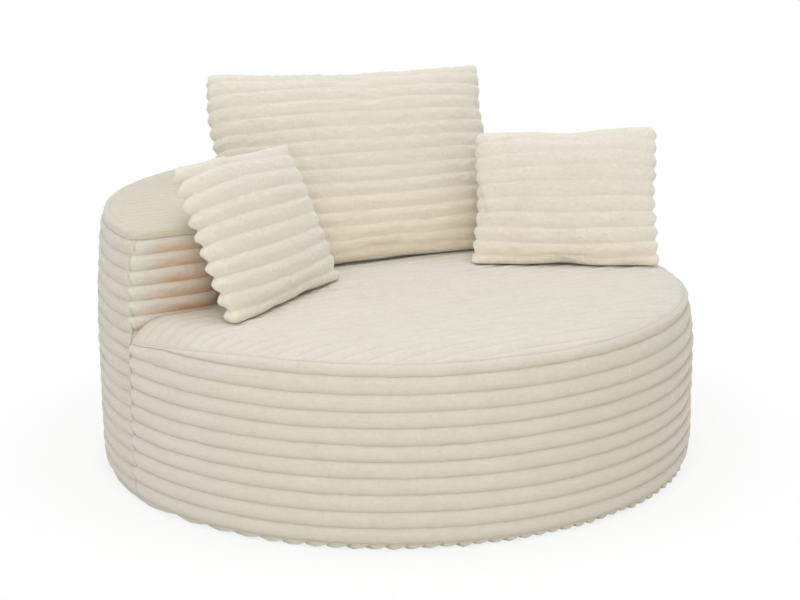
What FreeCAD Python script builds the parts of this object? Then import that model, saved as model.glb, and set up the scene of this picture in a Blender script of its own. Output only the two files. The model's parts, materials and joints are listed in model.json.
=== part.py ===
import FreeCAD, Part
import math
import os

# Round foam lounge armchair in ribbed plush: a drum with a C-shaped backrest, one back cushion and two
# side cushions. Millimetres, +Z up. The origin is the centre of the drum on the floor, the front is -Y.

V = FreeCAD.Vector
UP = V(0, 0, 1)
ALONG_X = V(1, 0, 0)
ALONG_Y = V(0, 1, 0)
ORIGIN = V(0, 0, 0)
FULL_TURN = 360
HALF_TURN = 180

# Ribbed plush
rib_pitch = 30.5          # from groove to groove
wall_rib_pitch = 31.5     # about, where the drum's wall stretches the cloth to a whole number of ribs
rib_height = 7.0          # crest above groove
backing = 5.0             # cloth and its quilted backing under the grooves
fit_gap = 0.5             # between the cover and what it encloses
seam_gap = 0.3            # between two panels of the cover
rest_gap = 0.3            # between a cushion and what it rests on
flat_cut = 0.5            # how much of each base rib is pressed flat by the floor

# Drum
drum_diameter = 1270.0
base_seam_height = 15.0
seat_height = 390.0
seat_roll_drop = 24.0     # how far the seat's rim rolls down to its seam
seam_inset = 16.0         # how far the wall curves in at its upper seams
front_curve_length = 110.0   # height over which it does so under the seat's seam
rear_curve_length = 250.0    # and under the backrest's
base_inset = 6.0          # how far it curves in at the base seam
base_curve_length = 75.0
seat_roll_width = 70.0
base_roll_width = 25.0

# Backrest
arm_end_y = -40.0
backrest_inner_radius = 408.5
backrest_rise = 175.5     # above the seat
inner_rib_count = 6       # on the backrest's inner face
arm_inner_corner = 52.0
arm_outer_corner = 27.0
top_roll = 25.0

# Filling
base_foam_ribs = 5        # the base foam's top is level with this groove of the front wall
wadding_thickness = 10.0

# Cushions: width, height, thickness, foot centre, yaw, lean and number of ribs. A thicker cushion stands
# further forward, by a share of its thickness.
thickness_share = 0.1
cushion_fit_radius = 408.5   # the backrest_inner_radius that these sizes are for
CUSHIONS = {
    "back_cushion": dict(width=650.0, height=437.0, thickness=165.0, x=36.0, y=152.5,
                         yaw=-4.5, lean=25.0, ribs=15),
    "left_cushion": dict(width=410.0, height=308.0, thickness=106.0, x=-302.0, y=-72.9,
                         yaw=33.0, lean=24.0, ribs=10),
    "right_cushion": dict(width=410.0, height=308.0, thickness=106.0, x=366.0, y=-109.4,
                          yaw=-35.0, lean=22.0, ribs=10),
}
foot_press = 4.0          # how much of a cushion's lowest ribs is pressed flat by the seat
cushion_backing = 4.0
side_edge_half = 7.0      # half thickness of a cushion at its side seams
top_draw_in_share = 0.028
side_draw_in_share = 0.022
crown_power = 2.4
crown_root = 0.62
SECTION_SHARES = (-1.0, -0.86, -0.5, 0.0, 0.5, 0.86, 1.0)

# Zips
zip_share_of_width = 0.68
chain_width = 5.0
chain_height = 3.0
tape_height = 9.0
tape_thickness = 1.0
zip_gap = 0.4
zip_recess = 8.0          # from a cushion's lower seam up to its zip's slider
tooth_pitch = 5.0
tooth_notch = 1.2
slider_length = 12.0
slider_wall = 1.6
stop_length = 4.0
lug_length = 6.0
lug_width = 3.0
lug_height = 2.6
lug_wall = 0.8
cover_zip_start = 18.0    # degrees from +X
cover_zip_end = 162.0

# Worked-out sizes
crest_radius = drum_diameter / 2
groove_radius = crest_radius - rib_height
seam_radius = groove_radius - seam_inset
base_seam_radius = groove_radius - base_inset
backrest_height = seat_height + backrest_rise
seat_seam_height = seat_height - seat_roll_drop
top_seam_height = backrest_height - top_roll
inner_seam_height = top_seam_height - inner_rib_count * rib_pitch
front_rib_count = round((seat_seam_height - base_seam_height) / wall_rib_pitch)
rear_rib_count = round((top_seam_height - base_seam_height) / wall_rib_pitch)
front_pitch = (seat_seam_height - base_seam_height) / front_rib_count
skin = rib_height + backing
base_foam_top = base_seam_height + base_foam_ribs * front_pitch
inner_groove_radius = backrest_inner_radius + rib_height
end_groove_y = arm_end_y + rib_height
wall_turn = math.degrees(math.asin(-arm_end_y / crest_radius))
beyond = 2 * drum_diameter   # size of a cutting block that reaches past everything


def arc(start, middle, end):
    return Part.Arc(start, middle, end).toShape()


def line(start, end):
    return Part.LineSegment(start, end).toShape()


def polyline(points):
    return [line(a, b) for a, b in zip(points, points[1:])]


def ribs(points, height, axis):
    """One arc per rib between neighbouring groove points; the crests stand out along chord x axis."""
    edges = []
    for a, b in zip(points, points[1:]):
        outward = (b - a).cross(axis).normalize()
        edges.append(arc(a, (a + b) / 2 + outward * height, b))
    return edges


def face(edges):
    return Part.Face(Part.Wire(Part.__sortEdges__(edges)))


def turned(profile, start, turn):
    """The profile, drawn in the XZ plane, revolved about Z from angle start through turn degrees."""
    solid = profile.revolve(ORIGIN, UP, turn)
    solid.rotate(ORIGIN, UP, start)
    return solid


def slab(low, high):
    """A block between two heights, wider than the chair."""
    return Part.makeBox(beyond, beyond, high - low, V(-beyond / 2, -beyond / 2, low))


class Wall:
    """The drum's wall from the base seam up to an upper seam, drawn in at both."""

    def __init__(self, rib_count, top, curve_length):
        self.rib_count = rib_count
        self.top = top
        self.curve_length = curve_length

    def inset(self, z):
        """How far the wall curves in at height z."""
        near_base = max(0, 1 - (z - base_seam_height) / base_curve_length)
        near_top = max(0, 1 - (self.top - z) / self.curve_length)
        return max(base_inset * near_base ** 2, seam_inset * near_top ** 2)

    def line(self, depth):
        """Groove points from the lower seam up, moved inward by depth."""
        pitch = (self.top - base_seam_height) / self.rib_count
        heights = [base_seam_height + i * pitch for i in range(self.rib_count + 1)]
        return [V(groove_radius - self.inset(z) - depth, 0, z) for z in heights]


front_wall = Wall(front_rib_count, seat_seam_height, front_curve_length)
rear_wall = Wall(rear_rib_count, top_seam_height, rear_curve_length)


def wall_panel(wall, start, turn):
    outer = wall.line(0)
    inner = wall.line(backing)
    edges = ribs(outer, rib_height, -ALONG_Y)
    edges += polyline(inner)
    edges += [line(outer[0], inner[0]), line(outer[-1], inner[-1])]
    return turned(face(edges), start, turn)


def barrel(wall, top):
    """Everything inside the wall, up to a height."""
    side = wall.line(backing + fit_gap)
    side = side + [V(side[-1].x, 0, top)]
    axis_low = V(0, 0, side[0].z)
    axis_high = V(0, 0, top)
    edges = polyline([axis_low] + side + [axis_high, axis_low])
    return turned(face(edges), 0, FULL_TURN)


class RolledCap:
    """A flat disc whose rim rolls over to a seam, seen from above; depth is measured into it."""

    def __init__(self, crown, seam, edge_radius, roll_width):
        self.crown = crown
        self.seam = seam
        self.flat = edge_radius - roll_width
        drop = crown - seam
        self.radius = (roll_width ** 2 + drop ** 2) / (2 * drop)
        self.centre_z = crown - self.radius

    def rim(self, depth):
        """The rolled rim as an arc, and its two ends, on the flat and in the seam's plane."""
        radius = self.radius - depth
        last = math.acos((self.seam - self.centre_z) / radius)
        first, middle, end = [
            V(self.flat + radius * math.sin(a), 0, self.centre_z + radius * math.cos(a))
            for a in (0, last / 2, last)
        ]
        return arc(first, middle, end), first, end

    def shell(self, outer_depth, inner_depth):
        outer_rim, outer_flat, outer_end = self.rim(outer_depth)
        inner_rim, inner_flat, inner_end = self.rim(inner_depth)
        outer_axis = V(0, 0, outer_flat.z)
        inner_axis = V(0, 0, inner_flat.z)
        edges = [outer_rim, inner_rim, line(outer_end, inner_end), line(outer_axis, inner_axis)]
        edges += [line(outer_axis, outer_flat), line(inner_axis, inner_flat)]
        return turned(face(edges), 0, FULL_TURN)

    def filled(self, depth, side):
        """A solid under the cap at that depth; side is its wall from the bottom up."""
        rim, flat_end, seam_end = self.rim(depth)
        axis_high = V(0, 0, flat_end.z)
        axis_low = V(0, 0, side[0].z)
        edges = polyline([axis_low] + side + [seam_end])
        edges += [rim, line(flat_end, axis_high), line(axis_high, axis_low)]
        return turned(face(edges), 0, FULL_TURN)


def ribbed_block(crest, depth):
    """A wide block with ribs along X on top, their crests at one height, and a rib on the centre line."""
    half_count = int(crest_radius / rib_pitch) + 1
    grooves = [V(-beyond / 2, (i - 0.5) * rib_pitch, crest - rib_height)
               for i in range(-half_count, half_count + 2)]
    low_left = V(-beyond / 2, grooves[0].y, crest - depth)
    low_right = V(-beyond / 2, grooves[-1].y, crest - depth)
    edges = ribs(grooves, rib_height, -ALONG_X)
    edges += polyline([grooves[0], low_left, low_right, grooves[-1]])
    return face(edges).extrude(V(beyond, 0, 0))


def backrest_outline(outer, inset, outer_corner):
    """The C-shaped plan of the backrest at z 0, moved into its own material by inset from its grooves."""
    inner = inner_groove_radius + inset
    end_y = end_groove_y + inset
    corner = arm_inner_corner - inset
    inner_centre = V(math.sqrt((inner + corner) ** 2 - (end_y + corner) ** 2), end_y + corner, 0)
    inner_touch = inner_centre * (inner / (inner + corner))
    outer_centre = V(math.sqrt((outer - outer_corner) ** 2 - (end_y + outer_corner) ** 2),
                     end_y + outer_corner, 0)
    outer_touch = outer_centre * (outer / (outer - outer_corner))
    edges = []
    for side in (-1, 1):
        def at(p):
            return V(side * p.x, p.y, p.z)
        into_inner = (at(ORIGIN) - at(inner_centre)).normalize() + V(0, -1, 0)
        into_outer = at(outer_touch - outer_centre).normalize() + V(0, -1, 0)
        edges.append(line(V(side * outer_centre.x, end_y, 0), V(side * inner_centre.x, end_y, 0)))
        edges.append(arc(V(side * inner_centre.x, end_y, 0),
                         at(inner_centre) + into_inner.normalize() * corner, at(inner_touch)))
        edges.append(arc(V(side * outer_centre.x, end_y, 0),
                         at(outer_centre) + into_outer.normalize() * outer_corner, at(outer_touch)))
    edges.append(arc(V(-inner_touch.x, inner_touch.y, 0), V(0, inner, 0), inner_touch))
    edges.append(arc(V(-outer_touch.x, outer_touch.y, 0), V(0, outer, 0), outer_touch))
    return face(edges)


def backrest_block(outer, inset, outer_corner, low, high):
    block = backrest_outline(outer, inset, outer_corner)
    block.translate(V(0, 0, low))
    return block.extrude(V(0, 0, high - low))


def rolled_backrest_block(inset, low):
    """The backrest's upper part with its top edge rolled over all round."""
    block = backrest_block(seam_radius - inset, inset, arm_outer_corner - inset, low,
                           backrest_height - inset)
    top = backrest_height - inset
    rim = [e for e in block.Edges if abs(e.BoundBox.ZMin - top) < fit_gap]
    return block.makeFillet(top_roll - inset, rim)


def inner_panel_profile(groove, turned_out):
    """The ribbed strip's section in the XZ plane; turned_out is +1 where the crests face +X."""
    heights = [inner_seam_height + i * rib_pitch for i in range(inner_rib_count + 1)]
    outer = [V(groove, 0, z) for z in heights]
    inner_low = V(groove - turned_out * backing, 0, heights[0])
    inner_high = V(groove - turned_out * backing, 0, heights[-1])
    edges = ribs(outer, rib_height, ALONG_Y * -turned_out)
    edges += polyline([outer[0], inner_low, inner_high, outer[-1]])
    return face(edges)


def backrest_inner_panel():
    """Arm ends, rounded arm corners and the curved inner face, as one strip of ribbed plush."""
    corner = arm_inner_corner
    centre = V(math.sqrt((inner_groove_radius + corner) ** 2 - (end_groove_y + corner) ** 2),
               end_groove_y + corner, 0)
    swing = math.degrees(math.atan2(centre.y, centre.x))
    curved = turned(inner_panel_profile(inner_groove_radius, -1), swing, HALF_TURN - 2 * swing)
    pieces = [curved]
    end_length = groove_radius - centre.x
    end_profile = inner_panel_profile(0, 1)
    end_profile.rotate(ORIGIN, UP, -HALF_TURN / 2)
    end_profile.translate(V(centre.x, end_groove_y, 0))
    end = end_profile.extrude(V(end_length, 0, 0))
    bend = inner_panel_profile(corner, 1).revolve(ORIGIN, UP, -(HALF_TURN / 2 - swing))
    bend.rotate(ORIGIN, UP, -HALF_TURN / 2)
    bend.translate(centre)
    for piece in (end, bend):
        pieces += [piece, piece.mirror(ORIGIN, ALONG_X)]
    strip = pieces[0].multiFuse(pieces[1:])
    return strip.common(barrel(rear_wall, backrest_height))


def arc_bar(inner, outer, low, high, start, turn):
    """A bar of rectangular section, bent round the Z axis."""
    corners = [V(inner, 0, low), V(outer, 0, low), V(outer, 0, high), V(inner, 0, high), V(inner, 0, low)]
    return turned(face(polyline(corners)), start, turn)


def chair_body():
    nodes = {}
    seat = RolledCap(seat_height + fit_gap, seat_seam_height + seam_gap, seam_radius, seat_roll_width)
    base = RolledCap(base_seam_height, seam_gap, base_seam_radius, base_roll_width)
    around_backrest = backrest_block(beyond / 2, -rib_height - seam_gap, arm_outer_corner,
                                     inner_seam_height - backing, backrest_height)
    backrest_core_gap = backing + fit_gap
    under_panel = backrest_block(beyond / 2, backrest_core_gap - fit_gap, arm_outer_corner,
                                 base_foam_top, inner_seam_height)

    rear_turn = HALF_TURN + 2 * wall_turn
    nodes["rear_wall_panel"] = wall_panel(rear_wall, -wall_turn, rear_turn)
    seam_turn = math.degrees(seam_gap / crest_radius)
    nodes["front_wall_panel"] = wall_panel(front_wall, HALF_TURN + wall_turn + seam_turn,
                                           FULL_TURN - rear_turn - 2 * seam_turn)

    seat_skin = seat.shell(0, skin + fit_gap).common(ribbed_block(seat_height, seat_height))
    nodes["seat_top_panel"] = seat_skin.cut(around_backrest)
    wadding_top = skin + 2 * fit_gap
    wadding_base = wadding_top + wadding_thickness
    nodes["seat_wadding"] = seat.shell(wadding_top, wadding_base).cut(around_backrest)

    lower_side = front_wall.line(backing + fit_gap)
    seat_side = [p for p in lower_side if p.z > base_foam_top - fit_gap][:-1]
    seat_side[0] = V(seat_side[0].x, 0, base_foam_top + seam_gap)
    seat_foam = seat.filled(wadding_base + fit_gap, seat_side)
    nodes["seat_foam"] = seat_foam.cut(around_backrest).cut(under_panel)

    base_side = [V(p.x, 0, p.z) for p in lower_side if p.z < base_foam_top + fit_gap][1:]
    upside_down = [V(p.x, 0, base_seam_height - p.z) for p in reversed(base_side)]
    base_foam = base.filled(skin + fit_gap, upside_down)
    base_foam = base_foam.mirror(V(0, 0, base_seam_height / 2), UP)
    nodes["base_foam"] = base_foam

    base_skin = base.shell(0, skin).common(ribbed_block(base_seam_height + flat_cut, drum_diameter))
    base_skin.rotate(ORIGIN, UP, HALF_TURN / 2)
    nodes["base_panel"] = base_skin.mirror(V(0, 0, base_seam_height / 2), UP)

    foam_low = base_foam_top + seam_gap
    foam_join = top_seam_height - skin
    lower_foam = backrest_block(crest_radius, backrest_core_gap, arm_outer_corner, foam_low, foam_join)
    lower_foam = lower_foam.common(barrel(rear_wall, backrest_height))
    upper_foam = rolled_backrest_block(skin + fit_gap, foam_join - rib_pitch)
    nodes["backrest_foam"] = lower_foam.fuse(upper_foam).removeSplitter()

    nodes["backrest_inner_panel"] = backrest_inner_panel()
    top_low = top_seam_height + seam_gap
    top_skin = rolled_backrest_block(0, base_foam_top).cut(rolled_backrest_block(skin, base_foam_top))
    top_skin = top_skin.common(slab(top_low, backrest_height + rib_pitch))
    nodes["backrest_top_panel"] = top_skin.common(ribbed_block(backrest_height, drum_diameter))
    add_cover_zip(nodes)
    return nodes


def add_cover_zip(nodes):
    """The zip in the rear base seam, bent round the drum, and the groove that it lies in."""
    turn = cover_zip_end - cover_zip_start
    middle = base_seam_height
    chain_outer = base_seam_radius - chain_height
    chain_inner = chain_outer - chain_height
    tape_outer = chain_inner - zip_gap
    tape_inner = tape_outer - tape_thickness
    groove_low = middle - tape_height / 2 - zip_gap
    groove_high = middle + tape_height / 2 + zip_gap
    spare = math.degrees(slider_length / base_seam_radius)
    groove = arc_bar(tape_inner - zip_gap, crest_radius + rib_height, groove_low, groove_high,
                     cover_zip_start - spare, turn + 2 * spare)
    for name in ("rear_wall_panel", "base_panel"):
        nodes[name] = nodes[name].cut(groove)

    half_slit = zip_gap / 2
    lower_tape = arc_bar(tape_inner, tape_outer, middle - tape_height / 2, middle - half_slit,
                         cover_zip_start, turn)
    upper_tape = arc_bar(tape_inner, tape_outer, middle + half_slit, middle + tape_height / 2,
                         cover_zip_start, turn)
    nodes["cover_zip_tapes"] = Part.makeCompound([lower_tape, upper_tape])

    chain_low = middle - chain_width / 2
    chain_high = middle + chain_width / 2
    chain = arc_bar(chain_inner, chain_outer, chain_low, chain_high, cover_zip_start, turn)
    notch_turn = math.degrees(tooth_notch / base_seam_radius)
    pitch_turn = math.degrees(2 * tooth_pitch / base_seam_radius)
    notches = []
    for i in range(1, int(turn / pitch_turn)):
        notches.append(arc_bar(chain_outer - tooth_notch, crest_radius, chain_low - tooth_notch,
                               chain_high + tooth_notch, cover_zip_start + i * pitch_turn, notch_turn))
    nodes["cover_zip_teeth"] = chain.cut(Part.makeCompound(notches))

    stop_turn = math.degrees(stop_length / base_seam_radius)
    stop_gap_turn = math.degrees(zip_gap / base_seam_radius)
    stops = []
    for start in (cover_zip_start - stop_turn - stop_gap_turn, cover_zip_end + stop_gap_turn):
        stops.append(arc_bar(tape_inner, chain_outer, chain_low, chain_high, start, stop_turn))
    nodes["cover_zip_stops"] = Part.makeCompound(stops)

    slider_turn = math.degrees(slider_length / base_seam_radius)
    plate_inner = chain_outer + zip_gap
    plate_outer = plate_inner + slider_wall
    flange_low = chain_low - zip_gap - slider_wall
    flange_high = chain_high + zip_gap + slider_wall
    body = arc_bar(chain_inner, plate_outer, flange_low, flange_high, cover_zip_start, slider_turn)
    channel = arc_bar(tape_inner, plate_inner, chain_low - zip_gap, chain_high + zip_gap,
                      cover_zip_start - slider_turn, 3 * slider_turn)
    lug_turn = math.degrees(lug_length / base_seam_radius)
    lug_start = cover_zip_start + (slider_turn - lug_turn) / 2
    lug = arc_bar(plate_outer, plate_outer + lug_height, middle - lug_width / 2, middle + lug_width / 2,
                  lug_start, lug_turn)
    eye_turn = lug_turn - 2 * math.degrees(lug_wall / base_seam_radius)
    eye = arc_bar(plate_outer, plate_outer + lug_height - lug_wall, middle - lug_width,
                  middle + lug_width, lug_start + (lug_turn - eye_turn) / 2, eye_turn)
    nodes["cover_zip_slider"] = body.cut(channel).fuse(lug.cut(eye))


class Cushion:
    """A cushion standing on its lower seam: X is its width, Z its height, -Y its front."""

    def __init__(self, width, height, thickness, ribs):
        self.width = width
        self.height = height
        self.groove_half = thickness / 2 - rib_height
        self.rib_count = ribs

    def seam_z(self, share, inset):
        """Heights of the lower and upper seam at a share of the half width; the upper one dips."""
        draw = self.height * top_draw_in_share * (1 - share ** 2)
        return inset, self.height - draw - inset

    def half_thickness(self, share, v):
        swell = (1 - abs(share) ** crown_power) ** crown_root * (1 - abs(v) ** crown_power) ** crown_root
        return side_edge_half + (self.groove_half - side_edge_half) * swell

    def grooves(self, share, inset, side):
        """Groove points of one face at a share of the half width; side is -1 in front and +1 behind."""
        low, high = self.seam_z(share, inset)
        x = share * (self.width / 2 - inset)
        points = []
        for i in range(self.rib_count + 1):
            v = 2 * i / self.rib_count - 1
            at_seam = i in (0, self.rib_count)
            half = 0 if at_seam else self.half_thickness(share, v) - inset
            points.append(V(x, side * half, low + (high - low) * i / self.rib_count))
        return points

    def half(self, inset, height, side):
        """One half of the cushion: ribs on its face, flat at the seam plane."""
        wires = []
        for share in SECTION_SHARES:
            points = self.grooves(share, inset, side)
            edges = ribs(points, height, ALONG_X * side) if height else polyline(points)
            wires.append(Part.Wire(edges + [line(points[-1], points[0])]))
        return Part.makeLoft(wires, True, False)

    def outline(self, inset):
        """A block with the cushion's drawn-in side seams, which trims the ends of its ribs."""
        half_width = self.width / 2 - inset
        draw = self.width * side_draw_in_share
        low = -self.height
        high = 2 * self.height
        middle = self.height / 2
        depth = -self.groove_half * 2
        reach = middle - low
        sag = draw * (reach / middle) ** 2
        left = arc(V(-half_width - sag + draw, depth, low), V(-half_width + draw, depth, middle),
                   V(-half_width - sag + draw, depth, high))
        right = arc(V(half_width + sag - draw, depth, low), V(half_width - draw, depth, middle),
                    V(half_width + sag - draw, depth, high))
        ends = [line(V(-half_width - sag + draw, depth, z), V(half_width + sag - draw, depth, z))
                for z in (low, high)]
        return face([left, right] + ends).extrude(V(0, -2 * depth, 0))

    def zip_frame(self):
        """Half length of the zip, and the height of its chain's lower face."""
        half_length = self.width * zip_share_of_width / 2
        chain_z = zip_recess + lug_height + slider_wall + zip_gap
        return half_length, chain_z

    def pocket(self):
        """The gap in the lower seam that holds the zip."""
        half_length, chain_z = self.zip_frame()
        half_length += slider_length
        half_width = chain_width / 2 + zip_gap * 2 + slider_wall
        top = chain_z + chain_height + tape_height + zip_gap
        return Part.makeBox(2 * half_length, 2 * half_width, top + self.height,
                            V(-half_length, -half_width, -self.height))

    def nodes(self, name):
        pocket = self.pocket()
        made = {}
        for label, side in (("front", -1), ("back", 1)):
            outer = self.half(0, rib_height, side).common(self.outline(0))
            inner = self.half(cushion_backing, 0, side).common(self.outline(cushion_backing))
            made[f"{name}_{label}_panel"] = outer.cut(inner).cut(pocket)
        inset = cushion_backing + fit_gap
        filling = self.half(inset, 0, -1).fuse(self.half(inset, 0, 1)).removeSplitter()
        made[f"{name}_filling"] = filling.common(self.outline(inset)).cut(pocket)
        made.update(self.zip(name))
        return made

    def zip(self, name):
        half_length, chain_z = self.zip_frame()
        chain_top = chain_z + chain_height
        tapes = []
        for side in (-1, 1):
            low_y = zip_gap / 2 if side > 0 else -zip_gap / 2 - tape_thickness
            tapes.append(Part.makeBox(2 * half_length, tape_thickness, tape_height,
                                      V(-half_length, low_y, chain_top)))
        chain = Part.makeBox(2 * half_length, chain_width, chain_height,
                             V(-half_length, -chain_width / 2, chain_z))
        notches = []
        for i in range(1, int(2 * half_length / tooth_pitch)):
            notches.append(Part.makeBox(tooth_notch, 2 * chain_width, tooth_notch,
                                        V(-half_length + i * tooth_pitch, -chain_width, chain_z)))
        stops = []
        for x in (-half_length - zip_gap - stop_length, half_length + zip_gap):
            stops.append(Part.makeBox(stop_length, chain_width, chain_height + tape_height,
                                      V(x, -chain_width / 2, chain_z)))
        return {
            f"{name}_zip_tapes": Part.makeCompound(tapes),
            f"{name}_zip_teeth": chain.cut(Part.makeCompound(notches)),
            f"{name}_zip_stops": Part.makeCompound(stops),
            f"{name}_zip_slider": self.slider(half_length, chain_z),
        }

    def slider(self, half_length, chain_z):
        """A slider with an eye in place of a pull tab, parked at the right-hand end of the zip."""
        half_width = chain_width / 2 + zip_gap + slider_wall
        x = half_length - slider_length
        body = Part.makeBox(slider_length, 2 * half_width, chain_height + zip_gap + slider_wall,
                            V(x, -half_width, chain_z - zip_gap - slider_wall))
        channel = Part.makeBox(3 * slider_length, chain_width + 2 * zip_gap, 2 * tape_height,
                               V(x - slider_length, -chain_width / 2 - zip_gap, chain_z - zip_gap))
        lug_x = x + (slider_length - lug_length) / 2
        lug_z = chain_z - zip_gap - slider_wall - lug_height
        lug = Part.makeBox(lug_length, lug_width, lug_height, V(lug_x, -lug_width / 2, lug_z))
        eye = Part.makeBox(lug_length - 2 * lug_wall, 2 * lug_width, lug_height - lug_wall,
                           V(lug_x + lug_wall, -lug_width, lug_z + lug_wall))
        return body.cut(channel).fuse(lug.cut(eye))


def fitted(sizes):
    """A cushion's sizes, scaled to the backrest it stands in."""
    share = backrest_inner_radius / cushion_fit_radius
    lengths = {key: sizes[key] * share for key in ("width", "height", "thickness", "x", "y")}
    return {**sizes, **lengths}


def placed_cushion(name, width, height, thickness, x, y, yaw, lean, ribs):
    """The cushion's nodes, leant back, turned, pressed flat underneath and set down on the seat."""
    nodes = Cushion(width, height, thickness, ribs).nodes(name)
    turn = FreeCAD.Rotation(UP, yaw).multiply(FreeCAD.Rotation(ALONG_X, -lean))
    for shape in nodes.values():
        shape.Placement = FreeCAD.Placement(ORIGIN, turn)
    foot = min(shape.optimalBoundingBox().ZMin for shape in nodes.values()) + foot_press
    below = slab(foot - height, foot)
    placed = {}
    for node, shape in nodes.items():
        placed[node] = shape if "_zip_" in node else shape.cut(below)
        placed[node].translate(V(x, y - thickness_share * thickness, seat_height + rest_gap - foot))
    return placed


def main():
    nodes = chair_body()
    for name, sizes in CUSHIONS.items():
        nodes.update(placed_cushion(name, **fitted(sizes)))
    os.makedirs("parts", exist_ok=True)
    for name, shape in nodes.items():
        shape.exportStep(os.path.join("parts", name + ".step"))
        print(name, len(shape.Solids), shape.isValid(), round(shape.Volume / 1000), "cm3")


main()
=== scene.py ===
import json
import math
from dataclasses import dataclass
from math import pi

import bmesh
import bpy
import numpy as np
from mathutils import Matrix, Vector


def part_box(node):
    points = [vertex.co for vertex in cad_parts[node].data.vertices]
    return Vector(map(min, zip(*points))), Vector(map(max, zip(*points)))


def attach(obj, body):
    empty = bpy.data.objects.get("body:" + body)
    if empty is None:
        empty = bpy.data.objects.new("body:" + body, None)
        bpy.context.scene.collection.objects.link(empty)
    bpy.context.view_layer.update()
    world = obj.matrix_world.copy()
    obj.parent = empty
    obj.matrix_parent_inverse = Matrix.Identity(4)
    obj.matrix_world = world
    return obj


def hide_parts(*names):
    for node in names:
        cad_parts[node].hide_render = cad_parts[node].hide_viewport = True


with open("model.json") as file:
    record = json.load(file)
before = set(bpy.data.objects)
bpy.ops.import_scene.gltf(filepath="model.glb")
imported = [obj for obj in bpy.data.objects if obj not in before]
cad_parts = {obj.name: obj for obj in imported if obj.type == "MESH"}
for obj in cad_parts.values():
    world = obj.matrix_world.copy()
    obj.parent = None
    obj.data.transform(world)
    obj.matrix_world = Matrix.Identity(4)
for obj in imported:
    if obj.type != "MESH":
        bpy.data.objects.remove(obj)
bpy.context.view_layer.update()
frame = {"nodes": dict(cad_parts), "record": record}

# The looks of a round foam lounge armchair in cream ribbed plush. Metres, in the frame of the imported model:
# +Z up, the open front of the seat towards -Y, the origin at the centre of the base on the floor.

# Chair body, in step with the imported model
PITCH = 0.0305            # from groove to groove
FRONT_PITCH = 0.0327      # the same on the front wall, whose top rib is a narrower one
CREST_RADIUS = 0.635
RIB = 0.007               # crest above groove
GROOVE_RADIUS = CREST_RADIUS - RIB
BACKING = 0.005           # a panel's thickness under its grooves
SEAM_INSET = 0.016        # how far the walls draw in at the seat and top seams
FRONT_CURVE = 0.110       # height over which they do so
REAR_CURVE = 0.250
BASE_INSET = 0.006        # the same at the base seam
BASE_CURVE = 0.075
BASE_SEAM_Z = 0.015
FRONT_RIBS = 11
INNER_RIBS = 6
REAR_RIBS = FRONT_RIBS + INNER_RIBS
SEAT_SEAM_Z = 0.366
TOP_SEAM_Z = 0.5405
INNER_SEAM_Z = TOP_SEAM_Z - INNER_RIBS * PITCH
SEAM_RADIUS = GROOVE_RADIUS - SEAM_INSET
BASE_SEAM_RADIUS = GROOVE_RADIUS - BASE_INSET
SEAT_Z = 0.390
SEAT_ROLL = 0.070         # width of the seat's rolled edge
BASE_ROLL = 0.025
BACK_Z = 0.5655
TOP_ROLL = 0.025
ROLL_RIB = 1.05                # how far over the top's roll its rib reaches, in radians
INNER_RADIUS = 0.4085 + RIB    # to the grooves of the backrest's inner face
END_Y = -0.040 + RIB           # the grooves of the arm ends
INNER_CORNER = 0.052
OUTER_CORNER = 0.027
WALL_TURN = math.asin(0.040 / CREST_RADIUS)

# Seams
SEAM_DIP = 0.027          # how far the seat seam sinks beside the arm ends
SEAM_DIP_TURN = 0.30      # radians over which it does so
FLARE = 0.0150            # how far it swings out there to meet the rear wall
FLARE_REACH = 0.055
SLIM_RIB = 0.0035         # what the sinking seam leaves of a rib that it cuts away
EDGE_RADIUS = 0.014       # of the upright edges between the wall and the arm ends
EDGE_MEET = 1 - math.sqrt(0.5)
EDGE_REACH = 0.08         # how far from an edge its panels bend towards it
EDGE_LAP = 0.0025         # how far the two panels run on into each other there
REAR_FILL = 0.35          # how far the pile fills the rear wall's grooves
TOP_SEAM_FILL = 0.0035    # pile over the top seam
ZIP_START = math.radians(17.2)
ZIP_GAP = 0.0051          # half the height of the slot that shows the cover's zip

# Pile
TUFTS = ((0.00075, 0.0062), (0.00050, 0.017), (0.00055, 0.055))    # heights and sizes, up to broad patches
STREAK = 0.00045          # height of the brushed lines along the ribs
STREAK_SIZE = (0.017, 0.0042)
RIB_SAG = 1.35            # above 1, the crests lie nearer to the upper grooves
SURFACE_RELIEF = 0.0030   # rib height on the seat and the backrest's top
WALL_CREST = 1.12 * RIB   # what no crest rises above, with its pile
INNER_CREST = 1.1 * RIB

# Mesh density
WALL_STEPS = 10           # rows to a rib
INNER_STEPS = 12
SEAT_STEPS = 8
BASE_STEPS = 7
COARSE_COLUMNS = 120      # once round a cushion, before its ribs are made
COARSE_ROWS = 45
STUFFING_ROWS = 60

# Cushions
PUFF_STEPS = 20           # moments of the simulation with air
PUFF_CAP = 0.026          # how far the air may move a point
SEAM_SPREAD = 3.5         # points over which a seam is brought out
FOLD_ROWS = 11            # rows over which the folds at a cushion's upper and lower seams are smoothed out
FOLD_COLUMNS = 12         # columns over which those at its side seams are
SIDE_EDGE = 0.010         # half thickness of a cushion at its side seams
CORNER_RADIUS = 0.018
ZIP_SHARE = 0.68          # of a cushion's width
POCKET_HALF = 0.0054      # half width of the slot round a cushion's zip
# The slot from the lower seam inwards: half width and height
POCKET = ((POCKET_HALF, 0.0), (0.0056, 0.004), (0.0055, 0.009), (0.0053, 0.0168), (0.0019, 0.0182),
          (0.0018, 0.0250), (0.0, 0.0262))
STUFFING_INSET = 0.0085   # between a cushion's ribs and its stuffing
AIR = {"quality": 6, "mass": 0.25, "tension_stiffness": 18, "compression_stiffness": 18, "shear_stiffness": 6,
       "bending_stiffness": 0.8, "use_pressure": True, "uniform_pressure_force": 3.6}
UP = np.array([0, 0, 1])


# Curves

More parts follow.
